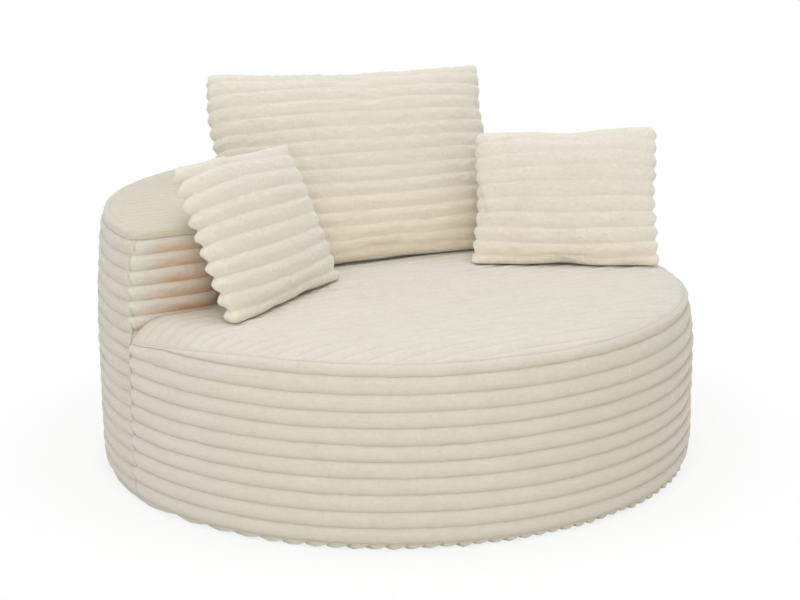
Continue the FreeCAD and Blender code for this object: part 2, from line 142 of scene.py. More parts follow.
def smooth(t):
    t = np.clip(t, 0, 1)
    return t * t * (3 - 2 * t)


def bell(t):
    return np.exp(-t ** 2)


def taper(x, reach):
    """1 at 0, falling evenly to 0 at a reach."""
    return np.clip(1 - x / reach, 0, 1)


def arc(x, reach):
    """A quarter circle, from 0 at an edge to 1 at a reach from it."""
    return np.sqrt(1 - taper(x, reach) ** 2)


# Noise

def lattice(cells, seed):
    """A repeatable number from -1 to 1 for each whole-numbered cell."""
    n = cells[..., 0] * 73856093 ^ cells[..., 1] * 19349663 ^ cells[..., 2] * 83492791 ^ (seed + 1) * 26544357
    n = (n ^ (n >> 13)) * 1274126177 & 0xFFFFFFFF
    n ^= n >> 16
    return (n & 0xFFFF) / 32767.5 - 1


def noise(points, size, seed):
    """Smooth noise from -1 to 1 at points, with features of that size in metres, or of three sizes."""
    p = np.asarray(points, float) / np.asarray(size, float)
    low = np.floor(p).astype(np.int64)
    t = p - low
    t = t * t * (3 - 2 * t)
    total = np.zeros(p.shape[:-1])
    for corner in range(8):
        step = np.array([corner & 1, corner >> 1 & 1, corner >> 2 & 1])
        weight = np.prod(np.where(step, t, 1 - t), axis=-1)
        total += weight * lattice(low + step, seed)
    return total


def plane_noise(a, b, size, seed):
    """The same noise over two measures, with a size for each."""
    a, b = np.broadcast_arrays(a, b)
    return noise(np.stack([a, b, np.zeros_like(a)], -1), (*size, 1), seed)


def line_noise(a, size, seed):
    """The same noise along one measure."""
    return plane_noise(a, 0 * a, (size, 1), seed)


def swell(a, b, seed, *layers):
    """A factor near 1 from layers of noise, each an amount and its two sizes."""
    total = 1
    for k, (amount, *size) in enumerate(layers):
        total = total + amount * plane_noise(a, b, size, seed + k)
    return total


def pile(points, seed, amount=1.0):
    """The pile's own unevenness in metres."""
    return amount * sum(height * noise(points, size, seed + k) for k, (height, size) in enumerate(TUFTS))


def streaks(along, across, seed):
    return STREAK * plane_noise(along, across, STREAK_SIZE, seed)


# Ribs

def rib(phase, lower=1.05, upper=0.72):
    """Height of the pile over a rib, from 0 in its grooves to 1 on its crest; phase counts ribs upwards."""
    share = (phase - np.floor(phase)) ** RIB_SAG
    x = np.minimum(abs(2 * share - 1), 1)
    return np.maximum(np.cos(pi / 2 * x), 0) ** np.where(share < 0.5, lower, upper)


def rib_rows(first, last, per_rib):
    """Phases for mesh rows from one value to another, crowded towards the grooves."""
    steps = (1 - np.cos(pi * np.arange(per_rib) / per_rib)) / 2
    rows = (np.arange(math.floor(first), math.ceil(last))[:, None] + steps[None, :]).ravel()
    rows = rows[(rows > first + 0.02) & (rows < last - 0.02)]
    return np.concatenate([[first], rows, [last]])


def rib_index(phase, ribs):
    """The rib that a phase lies on, and its share of the way up it."""
    index = np.floor(np.minimum(phase, ribs - 1e-6))
    return index, phase - index


def crowded(count, amount):
    """Shares from -1 to 1 along a mesh row, crowded towards both ends."""
    return np.sin(np.linspace(-1, 1, count) * pi / 2 * amount)[None, :] / math.sin(pi / 2 * amount)


def groove_shade(phase):
    """Painted shade as if lit from above: 1 in the grooves, fading slowly up the lower flank of a rib and
    fast down its upper one.
    """
    share = phase - np.floor(phase)
    return np.maximum(taper(share, 0.36) ** 1.6, 0.7 * np.clip((share - 0.93) / 0.07, 0, 1))


def even_shade(phase):
    """The same painted shade on ribs that lie flat, alike on both flanks."""
    x = abs(2 * (phase - np.floor(phase)) - 1)
    return np.clip((x - 0.62) / 0.38, 0, 1) ** 1.5


# Meshes

def linked(name, data):
    item = bpy.data.objects.new(name, data)
    bpy.context.scene.collection.objects.link(item)
    return item


def grid_normals(grid, facing=None):
    """Unit normals of a grid, along its columns cross down its rows, or turned to the side of a direction."""
    normal = np.cross(np.gradient(grid, axis=1), np.gradient(grid, axis=0))
    normal = normal / np.maximum(np.linalg.norm(normal, axis=-1, keepdims=True), 1e-12)
    if facing is None:
        return normal
    return np.where((normal * facing).sum(-1, keepdims=True) < 0, -normal, normal)


def grid_quads(rows, columns, first=0, wrap=False):
    """Quads of a grid of points stored row by row."""
    i, j = np.meshgrid(np.arange(rows - 1), np.arange(columns if wrap else columns - 1), indexing="ij")
    a = first + i * columns + j
    b = first + i * columns + (j + 1) % columns
    return np.stack([a, b, b + columns, a + columns], -1).reshape(-1, 4)


def mesh_piece(name, points, quads, shades, polygons=(), weld=0.0):
    """A smooth-shaded object from points, quads and a few larger polygons, with its faces turned outwards."""
    mesh = bpy.data.meshes.new(name)
    mesh.from_pydata(points.reshape(-1, 3).tolist(), [], quads.tolist() + list(polygons))
    for label, values in shades.items():
        shade = mesh.attributes.new(label, "FLOAT", "POINT")
        shade.data.foreach_set("value", np.asarray(values, np.float32).ravel())
    shape = bmesh.new()
    shape.from_mesh(mesh)
    if weld:
        bmesh.ops.remove_doubles(shape, verts=shape.verts, dist=weld)
    bmesh.ops.recalc_face_normals(shape, faces=shape.faces)
    shape.to_mesh(mesh)
    shape.free()
    mesh.shade_smooth()
    return linked(name, mesh)


def dress(piece, body, slot, *nodes, fill=0.85):
    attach(piece, body)
    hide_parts(*nodes)
    piece.data.materials.append(MATERIALS[slot])


def panel(name, node, outer, inner, painted_shade, painted_bounce_light, quads, polygons, slot="chair_plush"):
    """A closed panel of the chair from its outer and inner points and their faces; its inside gets full
    painted shade.
    """
    inside = np.ones(inner[..., 0].size)
    shades = {}
    # Both attributes are painted light: shade, and warm bounce light and shade.
    for label, values, hidden in (("painted_shade", painted_shade, inside), ("painted_bounce_light", painted_bounce_light, 0 * inside)):
        shades[label] = np.concatenate([np.broadcast_to(values, outer.shape[:2]).ravel(), hidden])
    points = np.concatenate([outer.reshape(-1, 3), inner.reshape(-1, 3)])
    dress(mesh_piece(name, points, np.concatenate(quads), shades, polygons), "chair", slot, node)


def raised(base, normal, lift, highest=BACK_Z):
    """A panel's outer side: the pile over its base surface, between the floor and a highest level."""
    outer = base + normal * lift[..., None]
    outer[..., 2] = np.clip(outer[..., 2], 0, highest)
    return outer


def shell(name, node, base, normal, lift, inner_rows, painted_shade, painted_bounce_light):
    """An upright panel with a coarser inner grid that has the same number of columns."""
    outer = raised(base, normal, lift)
    rows, columns = outer.shape[:2]
    chosen = np.linspace(0, rows - 1, inner_rows).astype(int)
    inner = base[chosen] - normal[chosen] * BACKING
    first = rows * columns
    j = np.arange(columns - 1)
    k = j + 1
    last_outer = (rows - 1) * columns
    last_inner = first + (inner_rows - 1) * columns
    quads = [grid_quads(rows, columns), grid_quads(inner_rows, columns, first),
             np.stack([j, first + j, first + k, k], -1),
             np.stack([last_outer + j, last_outer + k, last_inner + k, last_inner + j], -1)]
    ends = []
    for column in (0, columns - 1):
        out = [i * columns + column for i in range(rows)]
        back = [first + i * columns + column for i in range(inner_rows)]
        ends.append(out + back[::-1])
    panel(name, node, outer, inner, painted_shade, painted_bounce_light, quads, ends)


def layered(name, node, outer, inner, painted_shade, painted_bounce_light, every=6, slot="chair_plush"):
    """A flat panel from two grids of the same shape; the inner one is thinned away from its edges."""
    rows, columns = outer.shape[:2]
    keep = np.unique(np.concatenate([np.arange(0, columns, every), [columns - 1]]))
    keep_rows = np.unique(np.concatenate([np.arange(0, rows, every), [rows - 1]]))
    first = rows * columns
    width = len(keep)
    polygons = []
    for k in range(len(keep_rows) - 1):
        for column, thin in ((0, 0), (columns - 1, width - 1)):
            ring = [i * columns + column for i in range(keep_rows[k], keep_rows[k + 1] + 1)]
            polygons.append(ring + [first + (k + 1) * width + thin, first + k * width + thin])
    for k in range(width - 1):
        for row, thin in ((0, 0), (rows - 1, len(keep_rows) - 1)):
            ring = [row * columns + j for j in range(keep[k], keep[k + 1] + 1)]
            polygons.append(ring + [first + thin * width + k + 1, first + thin * width + k])
    quads = [grid_quads(rows, columns), grid_quads(len(keep_rows), width, first)]
    panel(name, node, outer, inner[keep_rows][:, keep], painted_shade, painted_bounce_light, quads, polygons, slot)


# Chair body

def turn_of(x, y):
    """Angle from +X, up to a full turn."""
    return np.mod(np.arctan2(y, x), 2 * pi)


def seat_seam_z(turn):
    """Height of the seat seam at an angle from +X; it sinks beside both arm ends."""
    left = abs(turn - (pi + WALL_TURN))
    right = abs(turn - (2 * pi - WALL_TURN))
    dip = bell(left / SEAM_DIP_TURN) + 0.6 * bell(right / SEAM_DIP_TURN)
    return SEAT_SEAM_Z - SEAM_DIP * dip + 0.0015 * line_noise(turn * CREST_RADIUS, 0.16, 71)


def zip_opening(turn):
    """1 where the rear base seam opens on the zip, 0 elsewhere."""
    return smooth((turn - ZIP_START + 0.02) / 0.02) * smooth((pi - ZIP_START + 0.02 - turn) / 0.02)


def seam_fill(z):
    """Pile that closes over the top seam."""
    return TOP_SEAM_FILL * smooth(1 - (TOP_SEAM_Z - z) / 0.010)


def edge_radius(z):
    """Radius of the upright edge between the wall and an arm end; it grows towards the top."""
    grown = smooth((z - TOP_SEAM_Z + 0.10) / 0.10)
    return (EDGE_RADIUS + (OUTER_CORNER - EDGE_RADIUS) * grown) * smooth((z - SEAT_SEAM_Z + 0.035) / 0.05)


def rounded(radius, to_corner):
    """How far a rounded edge lies behind a face, at a distance from where the sharp edge would be."""
    off = np.clip(radius - to_corner, 0, radius)
    return radius - np.sqrt(np.maximum(radius ** 2 - off ** 2, 0))


def draw_in(z, high, curve):
    """How far a wall lies inside its widest line."""
    low = BASE_INSET * taper(z - BASE_SEAM_Z, BASE_CURVE) ** 2
    return np.maximum(low, SEAM_INSET * taper(high - z, curve) ** 2)


def wall(name, node, ribs, start, end, columns, seed):
    """A ribbed wall between two angles, seam to seam."""
    front = ribs == FRONT_RIBS
    turn = np.linspace(start, end, columns)[None, :]
    along = turn * CREST_RADIUS
    phase = rib_rows(0, ribs, WALL_STEPS)[:, None]
    index, share = rib_index(phase, ribs)
    low = BASE_SEAM_Z + (0 if front else ZIP_GAP) * zip_opening(turn)
    high = seat_seam_z(turn) if front else TOP_SEAM_Z + 0 * turn

    def groove_line(line):
        """Height of the line between two ribs, counted from the base seam; the seat seam cuts off what lies
        above it.
        """
        if front:
            level = np.minimum(BASE_SEAM_Z + FRONT_PITCH * line, high - SLIM_RIB * (ribs - line))
            level = np.where(line >= ribs, high, level)
        else:
            level = low + (high - low) * line / ribs
        slow = plane_noise(along, line * 0.7, (0.21, 1), seed + 3)
        quick = plane_noise(along, line * 0.7, (0.028, 1), seed + 4)
        return level + np.where((line > 0) & (line < ribs), 0.0014 * slow + 0.0007 * quick, 0)

    lower, upper = groove_line(index), groove_line(index + 1)
    z = lower * (1 - share) + upper * share
    to_edge = np.minimum(turn - start, end - turn) * CREST_RADIUS
    inset = draw_in(z, high, FRONT_CURVE if front else REAR_CURVE)
    pinch = 0.0010 * bell(to_edge / 0.006)
    around = turn + 0 * z
    ridge = rib(phase)
    if front:
        beside = bell(to_edge / FLARE_REACH)
        inset = inset * (1 - beside) + draw_in(z, TOP_SEAM_Z, REAR_CURVE) * beside
        # Painted shade in the grooves and over the whole front wall, heavier towards +X.
        painted_shade = groove_shade(phase) + (0.30 + 0.75 * smooth((np.cos(turn) + 0.35) / 1.1))
    else:
        above_seat = smooth((z - SEAT_SEAM_Z + 0.025) / 0.05)
        radius = edge_radius(z)
        near = taper(to_edge, EDGE_REACH)
        step = GROOVE_RADIUS * math.sin(WALL_TURN) + END_Y
        side = np.where(turn < (start + end) / 2, 1, -1)
        meet = (EDGE_MEET * radius - EDGE_LAP * above_seat) * near
        around = around + side * (meet + step * above_seat * near) / CREST_RADIUS
        pinch = pinch * (1 - above_seat) + rounded(radius, to_edge + meet)
        shallow = REAR_FILL * smooth(np.minimum(phase, ribs - phase)) * smooth(to_edge / 0.08)
        ridge = shallow + (1 - shallow) * ridge
        # Painted shade over the whole rear wall, a little more in its grooves.
        painted_shade = groove_shade(phase) * 0.4 + 0.80
    radius = GROOVE_RADIUS - inset - pinch
    base = np.stack([radius * np.cos(around), radius * np.sin(around), z], -1)
    slim = np.clip((upper - lower) / 0.024, 0, 1) ** 0.8
    lift = RIB * ridge * swell(along, index, seed, (0.13, 0.11, 0.8), (0.07, 0.035, 0.8)) * slim
    if not front:
        lift = np.maximum(lift, seam_fill(z))
    lift = lift + (pile(base, seed + 5) + streaks(along, z, seed + 9)) * smooth(rib(phase) * 1.6)
    shell(name, node, base, grid_normals(base), np.minimum(lift, WALL_CREST), 6, np.minimum(painted_shade, 1.5), 0.0)


class Roll:
    """A flat disc whose rim rolls over to a seam below it, laid out flat as a larger disc."""

    def __init__(self, crown, seam, width, seam_radius=SEAM_RADIUS):
        self.flat = seam_radius - width
        drop = crown - seam
        self.radius = (width ** 2 + drop ** 2) / (2 * drop)
        self.last = math.asin(width / self.radius)
        self.reach = self.flat + self.radius * self.last

    def half_width(self, y):
        return np.sqrt(np.maximum(self.reach ** 2 - y ** 2, 0))

    def place(self, x, y):
        """From the flat layout to the plan, with the drop below the crown."""
        out = np.maximum(np.hypot(x, y), 1e-9)
        angle = np.clip((out - self.flat) / self.radius, 0, self.last)
        planned = np.where(out < self.flat, out, self.flat + self.radius * np.sin(angle))
        return x * planned / out, y * planned / out, self.radius * (1 - np.cos(angle)), angle / self.last


def arm_corner(radius, limit, sign):
    """A rounded corner of an arm end in plan: its radius, the arc it meets, its side, and its centre."""
    reach = limit + sign * radius
    return radius, limit, sign, reach, math.sqrt(reach ** 2 - (END_Y + radius) ** 2), END_Y + radius


CORNERS = (arm_corner(INNER_CORNER, INNER_RADIUS, 1), arm_corner(OUTER_CORNER, SEAM_RADIUS, -1))
SEAT = Roll(SEAT_Z, SEAT_SEAM_Z, SEAT_ROLL)


def seat_reach(y, arm_y, gap):
    """Half width of the flat seat at y: to its front seam, or behind the arm ends' line to their crests."""
    reach, centre_x, centre_y = CORNERS[0][3:]
    corner = INNER_CORNER + RIB
    ring = INNER_RADIUS - RIB
    on_corner = centre_x - np.sqrt(np.maximum(corner ** 2 - (y - centre_y) ** 2, 0))
    on_ring = np.sqrt(np.maximum(ring ** 2 - y ** 2, 0))
    between = np.where(y < centre_y * ring / reach, on_corner, on_ring)
    return np.where(y <= arm_y, SEAT.half_width(y), between - gap)


def seat_top():
    """The seat's cover: ribs across it and a rolled front edge."""
    arm_y = END_Y - RIB - 0.0006
    arm_phase = arm_y / PITCH + 0.5
    first = (-SEAT.reach + 0.0004) / PITCH + 0.5
    phase = rib_rows(first, (INNER_RADIUS - RIB - 0.0003) / PITCH + 0.5, SEAT_STEPS)
    phase = np.sort(np.append(phase, [arm_phase - 0.004, arm_phase + 0.004]))[:, None]
    flat_y = (phase - 0.5) * PITCH
    reach = seat_reach(flat_y, arm_y, 0.0003)
    flat_x = reach * crowded(330, 0.93)
    to_rim = SEAT.reach - np.hypot(flat_x, flat_y)
    wander = 0.0016 * plane_noise(flat_x, np.round(phase) * 0.8, (0.24, 1), 31)
    bent = np.where(to_rim > 0.012, wander, 0)
    x, y, drop, rolled = SEAT.place(flat_x, flat_y + bent * (phase > first) * (phase < phase[-1]))
    turn = turn_of(x, y)
    seam = np.where(y < 0, seat_seam_z(turn), SEAT_SEAM_Z)
    left, right = abs(turn - pi - WALL_TURN), abs(turn - 2 * pi + WALL_TURN)
    beside = np.minimum(left, right) * CREST_RADIUS
    flare = 1 + FLARE / SEAM_RADIUS * bell(beside / FLARE_REACH) * smooth(rolled) * (y < END_Y)
    x, y = x * flare, y * flare
    depth = SEAT_Z - SEAT_SEAM_Z
    drop = drop / depth * (depth - 0.0049 + (SEAT_SEAM_Z - seam) * smooth(rolled))
    crown = SEAT_Z - 0.0047 - 0.0012 * plane_noise(x, y, (0.28, 0.28), 33) ** 2
    near_arm = bell(abs(y - END_Y + RIB) / 0.03) * smooth((abs(x) - 0.42) / 0.1)
    base = np.stack([x, y, crown - drop - 0.002 * near_arm * smooth(1 - rolled)], -1)
    normal = grid_normals(base, UP)
    to_seam = np.where(phase <= arm_phase, to_rim, 1.0)
    to_back = np.where(phase > arm_phase, reach - abs(flat_x), 1.0)
    fade = smooth(to_seam / 0.010) * (0.35 + 0.65 * smooth(to_back / 0.012))
    relief = SURFACE_RELIEF * swell(x, phase, 34, (0.16, 0.12, 1), (0.10, 0.04, 1))
    worn = 1 - 0.28 * np.exp(-((x - 0.05) ** 2 + (y + 0.16) ** 2) / 0.26 ** 2)
    lift = relief * worn * rib(phase, 0.9, 0.9) * fade
    lift = lift + (pile(base, 36) + streaks(x, y, 37)) * smooth(fade * 1.5)
    # Painted warm bounce light and shade beside the arm ends and along the back of the seat.
    to_arm = np.where(y > END_Y - 0.2, abs(y - END_Y + RIB), 1.0) + np.maximum(0.45 - abs(x), 0)
    painted_bounce_light = 0.34 * np.exp(-to_arm / 0.045) + 0.30 * np.exp(-np.maximum(to_back, 0) / 0.05) * (y > END_Y)
    # Painted shade in the grooves, fading at the seams.
    layered("chair_seat_top", "seat_top_panel", raised(base, normal, lift, SEAT_Z), base - normal * BACKING,
            0.7 * even_shade(phase) * fade, painted_bounce_light)


def seat_wadding():
    """The soft layer under the seat, which follows the seat's own surface."""
    flat_y = np.arange(-SEAT.reach + 0.003, INNER_RADIUS - RIB - 0.003, 0.012)[:, None]
    flat_x = seat_reach(flat_y, END_Y - RIB - 0.001, 0.002) * np.linspace(-1, 1, 90)[None, :]
    x, y, drop, rolled = SEAT.place(flat_x, flat_y + 0 * flat_x)
    seam = np.where(y < 0, seat_seam_z(turn_of(x, y)), SEAT_SEAM_Z)
    drop = drop * (1 + (SEAT_SEAM_Z - seam) / (SEAT_Z - SEAT_SEAM_Z) * smooth(rolled))
    x, y = x * (1 - 0.022 * smooth(rolled)), y * (1 - 0.022 * smooth(rolled))
    top = np.stack([x, y, SEAT_Z - 0.013 - drop + 0.0004 * plane_noise(x, y, (0.02, 0.02), 41)], -1)
    layered("chair_seat_wadding", "seat_wadding", top, top - 0.0095 * UP, 0.0, 0.0, 1, "fibre_filling")


def base_cover():
    """The ribbed panel under the chair, pressed flat by the floor."""
    roll = Roll(BASE_SEAM_Z, 0.0003, BASE_ROLL, BASE_SEAM_RADIUS)
    limit = (roll.reach - 0.0005) / PITCH + 0.5
    phase = rib_rows(1 - limit, limit, BASE_STEPS)[:, None]
    flat_y = (phase - 0.5) * PITCH
    flat_x = roll.half_width(flat_y) * crowded(300, 0.95)
    to_rim = roll.reach - np.hypot(flat_x, flat_y)
    bent = 0.0035 * plane_noise(flat_x, np.round(phase) * 0.8, (0.05, 1), 53) * (abs(phase - 0.5) < limit - 1)
    x, y, drop, rolled = roll.place(flat_x, flat_y + bent * smooth((to_rim - 0.002) / 0.02))
    x, y = -y, x
    groove_z = RIB - 0.0005
    opened = ZIP_GAP * zip_opening(turn_of(x, y)) * smooth(rolled * 3 - 2)
    base = np.stack([x, y, groove_z + drop * (1 - groove_z / BASE_SEAM_Z) - opened], -1)
    normal = grid_normals(base, -UP)
    fade = smooth(to_rim / 0.007)
    lift = (RIB * swell(phase, flat_x, 51, (0.32, 1.3, 0.1)) * rib(phase, 0.75, 0.75) + pile(base, 52)) * fade
    # Painted shade over the whole base, deeper in its grooves, and painted warm bounce light and shade
    # towards its rolled rim.
    layered("chair_base", "base_panel", raised(base, normal, lift), base - normal * BACKING,
            1.5 * even_shade(phase) * fade + 0.9, 0.16 * smooth((rolled - 0.4) / 0.6))


def inner_path(count):
    """Plan of the backrest's inner face and arm ends, left to right: points along its grooves and the way
    they face.
    """
    centre_x, centre_y = CORNERS[0][4:]
    swing = math.atan2(centre_y, centre_x)
    outer_x = math.sqrt(GROOVE_RADIUS ** 2 - END_Y ** 2)
    straight = outer_x - centre_x
    corner = INNER_CORNER * (pi / 2 - swing)
    half = straight + corner + INNER_RADIUS * (pi / 2 - swing)
    s = np.linspace(-half, half, count)[None, :]
    side = np.where(s < 0, -1.0, 1.0)
    a = half - abs(s)
    turned = -pi / 2 - (a - straight) / INNER_CORNER
    around = swing + (a - straight - corner) / INNER_RADIUS
    parts = [a < straight, a < straight + corner]
    x = np.select(parts, [outer_x - a, centre_x + INNER_CORNER * np.cos(turned)],
                  INNER_RADIUS * np.cos(around))
    y = np.select(parts, [END_Y + 0 * a, centre_y + INNER_CORNER * np.sin(turned)],
                  INNER_RADIUS * np.sin(around))
    facing_x = np.select(parts, [0 * a, np.cos(turned)], -np.cos(around))
    facing_y = np.select(parts, [-1 + 0 * a, np.sin(turned)], -np.sin(around))
    return s, side * x, y, side * facing_x, facing_y, a, straight


def backrest_inner():
    """The inner face of the backrest, its corners and the arm ends."""
    s, x, y, facing_x, facing_y, to_edge, straight = inner_path(900)
    below = 1               # ribs under the seat's level, seen only beside the outer edges
    phase = rib_rows(-below, INNER_RIBS, INNER_STEPS)[:, None]
    index, share = rib_index(phase, INNER_RIBS)

    def wander(line):
        inside = (line > 0) & (line < INNER_RIBS)
        return np.where(inside, 0.0015 * plane_noise(s, line * 0.7, (0.15, 1), 61), 0)

    z = INNER_SEAM_Z + PITCH * phase + wander(index) * (1 - share) + wander(index + 1) * share
    cut = INNER_SEAM_Z - 0.034 * bell(to_edge / 0.060)
    z = np.where(z < cut, cut + 0.0003 * (phase + below), z)
    radius = edge_radius(np.maximum(z, SEAT_SEAM_Z))
    near = taper(to_edge, EDGE_REACH)
    meet = (EDGE_MEET * radius - EDGE_LAP) * near
    x = np.sign(x) * (abs(x) - draw_in(z, TOP_SEAM_Z, REAR_CURVE) * near - meet)
    bulge = 0.004 * np.sin(np.clip((z - INNER_SEAM_Z) / (TOP_SEAM_Z - INNER_SEAM_Z), 0, 1) * pi)
    bulge = bulge * smooth(to_edge / 0.03) * smooth((straight + 0.02 - to_edge) / 0.05)
    depth = rounded(radius, to_edge + meet) + 0.0015 * taper(TOP_SEAM_Z - z, 0.03) ** 2 - bulge
    base = np.stack([x - facing_x * depth, y - facing_y * depth, z], -1)
    normal = grid_normals(base, np.stack([facing_x, facing_y, 0 * facing_x], -1))
    ridge = RIB * rib(phase) * swell(s, index, 62, (0.14, 0.09, 1), (0.08, 0.03, 1))
    wrinkle = 0.0015 * noise(base, (0.024, 0.024, 0.0045), 68) * smooth((straight + 0.03 - to_edge) / 0.03)
    lift = np.maximum(ridge, seam_fill(z)) + (pile(base, 64) + wrinkle) * smooth(rib(phase) * 1.6)
    # Painted warm bounce light and shade: heavier on the lower flank of each rib and near the seat, faint at
    # the outer edges, a little less past the arm ends.
    foot = np.exp(-np.maximum(z - SEAT_Z, 0) / 0.06)
    uneven = 1.15 + 0.60 * plane_noise(s, z, (0.030, 0.007), 70)
    painted_bounce_light = 0.25 + 0.30 * foot + 1.15 * taper(share, 0.85) ** 1.3 * uneven
    painted_bounce_light = painted_bounce_light * (0.08 + 0.92 * smooth((to_edge - 0.01) / 0.12))
    painted_bounce_light = painted_bounce_light * (1 - 0.20 * smooth((to_edge - straight + 0.02) / 0.05))
    # Painted shade in the grooves.
    shell("chair_backrest_inner", "backrest_inner_panel", base, normal, np.minimum(lift, INNER_CREST),
          2 * (INNER_RIBS + below) + 1, groove_shade(phase), painted_bounce_light)


def arm_end_edge(radius):
    """How far back the arm ends begin at a distance from the chair's axis, rounded corners included."""
    edge = np.full_like(radius, END_Y)
    for corner, limit, sign, reach, centre_x, centre_y in CORNERS:
        x = np.sqrt(np.maximum(radius ** 2 - edge ** 2, 0))
        for _ in range(12):
            inside = (centre_x - x) * sign
            on_arc = centre_y - corner * np.sqrt(1 - np.clip(inside / corner, 0, 1) ** 2)
            y = np.where(inside > 0, np.minimum(on_arc, centre_y * limit / reach), edge)
            x = np.sqrt(np.maximum(radius ** 2 - y ** 2, 0))
        edge = y
    return edge


def inside_outline(x, y):
    """Distance from points on the backrest's top to its C-shaped outline."""
    radius = np.hypot(x, y)
    x = abs(x)
    distance = np.minimum(np.minimum(radius - INNER_RADIUS, SEAM_RADIUS - radius), y - END_Y)
    for corner, _, sign, reach, centre_x, centre_y in CORNERS:
        beyond = (y < centre_y) & ((centre_x - x) * sign > 0)
        in_sector = beyond & ((x * centre_y - y * centre_x) / reach > -1e-9)
        distance = np.where(in_sector, corner - np.hypot(x - centre_x, y - centre_y), distance)
    return np.maximum(distance, 0)


def edge_steps(length, count):
    """Places along a length across the backrest's top that crowd into its rolled edge at both ends."""
    rolled = TOP_ROLL * (1 - np.cos(np.linspace(0, pi / 2, 14)))
    middle = np.linspace(TOP_ROLL, length - TOP_ROLL, count)[1:-1]
    return np.concatenate([rolled, middle, length - rolled[::-1]])


def backrest_top():
    """The rolled rim and flat top of the backrest."""
    across = INNER_RADIUS + edge_steps(SEAM_RADIUS - INNER_RADIUS, 44)
    length = (INNER_RADIUS + SEAM_RADIUS) / 2 * pi
    along = edge_steps(length, 900)[None, :] / length
    start = np.arcsin(arm_end_edge(across) / across)[:, None]
    turn = start + (pi - 2 * start) * along
    x, y = across[:, None] * np.cos(turn), across[:, None] * np.sin(turn)
    inward = inside_outline(x, y)
    inward[[0, -1]] = 0
    inward[:, [0, -1]] = 0
    low = TOP_SEAM_Z + 0.0003
    crown = BACK_Z - 0.0038
    arch = 0.0015 * smooth(inward / 0.09)
    base = np.stack([x, y, low + (crown - low) * arc(inward, TOP_ROLL) + arch], -1)
    normal = grid_normals(base, UP)
    phase = y / PITCH + 0.5
    over = smooth((inward - 0.008) / 0.03)
    angle = np.arccos(np.clip(1 - inward / TOP_ROLL, 0, 1))
    lift = SURFACE_RELIEF * rib(phase, 0.9, 0.9) * over * swell(x, y, 67, (0.2, 0.07, 0.07))
    filled = TOP_SEAM_FILL * smooth(1 - angle / 0.4)
    rolled_rib = np.maximum(0.0052 * rib(np.minimum(angle / ROLL_RIB, 1)), filled)
    lift = lift + rolled_rib * swell(x, y, 69, (0.12, 0.09, 0.09))
    lift = lift + pile(base, 66) * smooth(inward / 0.003)
    # Painted shade on the lower flank of the rolled rib, a faint painted line where that rib ends, and in the
    # top's grooves, over a painted shade on the whole top; painted warm bounce light and shade on that flank
    # near the arm ends.
    flank = taper(angle, 0.36 * ROLL_RIB) ** 1.6
    faint = 0.30 * bell((angle - ROLL_RIB) / 0.14)
    painted_shade = np.maximum(np.maximum(0.5 * flank, faint), even_shade(phase) * over * 0.5)
    painted_bounce_light = 0.35 * np.exp(-np.maximum(y - END_Y, 0) / 0.02) * flank
    layered("chair_backrest_top", "backrest_top_panel", raised(base, normal, lift), base - normal * BACKING,
            painted_shade + 0.95, painted_bounce_light)


# Materials

def srgb(*rgb):
    """A linear colour from 0 to 255 screen values."""
    parts = [c / 255 for c in rgb]
    return tuple(c / 12.92 if c <= 0.04045 else ((c + 0.055) / 1.055) ** 2.4 for c in parts) + (1.0,)


def grey(value):
    return value, value, value, 1


class Nodes:
    """The nodes of a material or of the world."""

    def __init__(self, owner):
        owner.use_nodes = True
        self.owner = owner
        self.tree = owner.node_tree
        self.tree.nodes.clear()

    def add(self, kind, inputs, **settings):
        """A new node; its inputs, by name or number, are linked to sockets or set to values."""
        node = self.tree.nodes.new("ShaderNode" + kind)
        for label, value in settings.items():
            setattr(node, label, value)
        for label, value in inputs.items():
            if isinstance(value, bpy.types.NodeSocket):
                self.tree.links.new(value, node.inputs[label])
            else:
                node.inputs[label].default_value = value
        return node

    def where(self):
        return self.add("TexCoord", {}).outputs["Object"]

    def texture(self, where, scale, detail=3.0, roughness=0.5, distortion=0.0):
        inputs = {"Vector": where, "Scale": scale, "Detail": detail, "Roughness": roughness,
                  "Distortion": distortion}
        return self.add("TexNoise", inputs).outputs["Fac"]

    def ramp(self, value, low, dark, high, light):
        """From one colour at a low value to another at a high one."""
        node = self.add("ValToRGB", {"Fac": value})
        for element, place, colour in zip(node.color_ramp.elements, (low, high), (dark, light)):
            element.position = place
            element.color = colour
        return node.outputs["Color"]

    def mixed(self, factor, a, b, blend="MIX"):
        return self.add("Mix", {0: factor, 6: a, 7: b}, data_type="RGBA", blend_type=blend).outputs[2]

    def maths(self, operation, a, b):
        return self.add("Math", {0: a, 1: b}, operation=operation).outputs[0]

    def bump(self, height, distance, strength=1.0, **over):
        """A bumped normal; Normal may give one to add to."""
        inputs = {"Height": height, "Distance": distance, "Strength": strength, **over}
        return self.add("Bump", inputs).outputs["Normal"]

    def seen(self):
        """1 for rays that show a surface itself, 0 for those that only carry its light."""
        rays = self.add("LightPath", {}).outputs
        direct = self.maths("MAXIMUM", rays["Is Camera Ray"], rays["Is Glossy Ray"])
        return self.maths("MAXIMUM", direct, rays["Is Transmission Ray"])

    def surface(self, kind, shader):
        self.add("Output" + kind, {"Surface": shader.outputs[0]})
        return self.owner

    def finished(self, colour, normal, roughness, **more):
        """The material with its surface; more inputs have their spaces written as underlines."""
        inputs = {"Base Color": colour, "Normal": normal, "Roughness": roughness}
        inputs.update({label.replace("_", " "): value for label, value in more.items()})
        return self.surface("Material", self.add("BsdfPrincipled", inputs))


